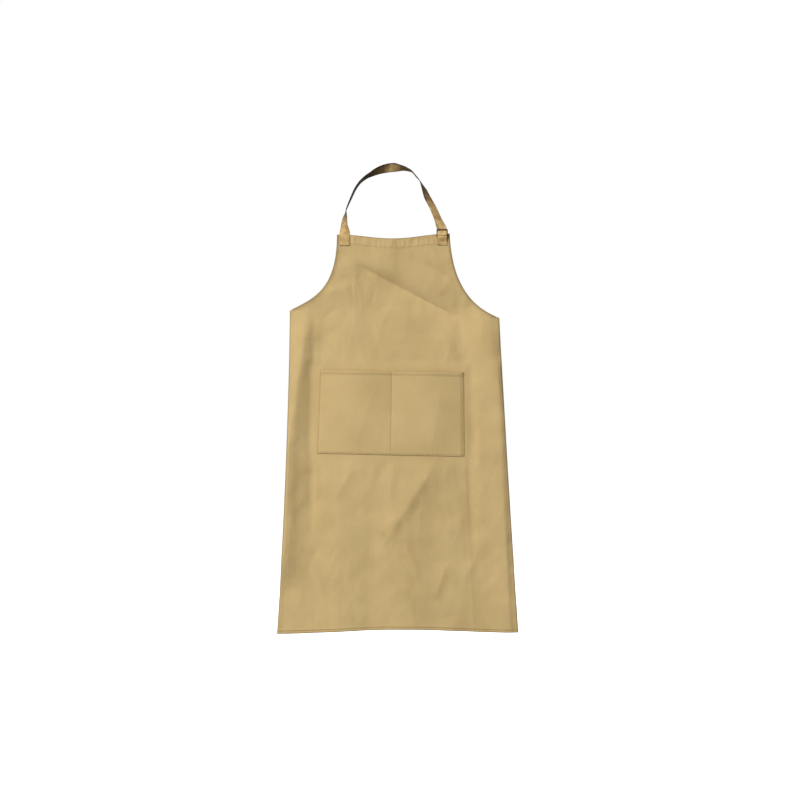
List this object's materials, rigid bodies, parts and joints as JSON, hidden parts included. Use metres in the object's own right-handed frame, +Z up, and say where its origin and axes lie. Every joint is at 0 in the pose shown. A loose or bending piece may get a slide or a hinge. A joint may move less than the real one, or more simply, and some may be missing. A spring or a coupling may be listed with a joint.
{
  "type": "bib apron",
  "caption": "Plain cloth bib apron with a patch pocket on the front and a neck strap that adjusts at a slide buckle, shown as it hangs when worn.",
  "frame": {"origin": "the middle of the neck strap's inner face, where it rests on the back of the neck", "axes": "+Z up, -Y the way the wearer faces, +X to the viewer's right as seen from the front"},
  "size_m": [0.569, 0.127, 1.12],
  "materials": {
    "cotton_twill": "matt khaki cotton twill",
    "strap_cloth": "matt khaki cotton twill, folded flat",
    "buckle_metal": "dark bronze, satin"
  },
  "bodies": {
    "root": {"apron_body": "cotton_twill", "pocket": "cotton_twill", "neck_strap": "strap_cloth", "buckle_tab": "strap_cloth", "slide_buckle": "buckle_metal"}
  },
  "joints": []
}
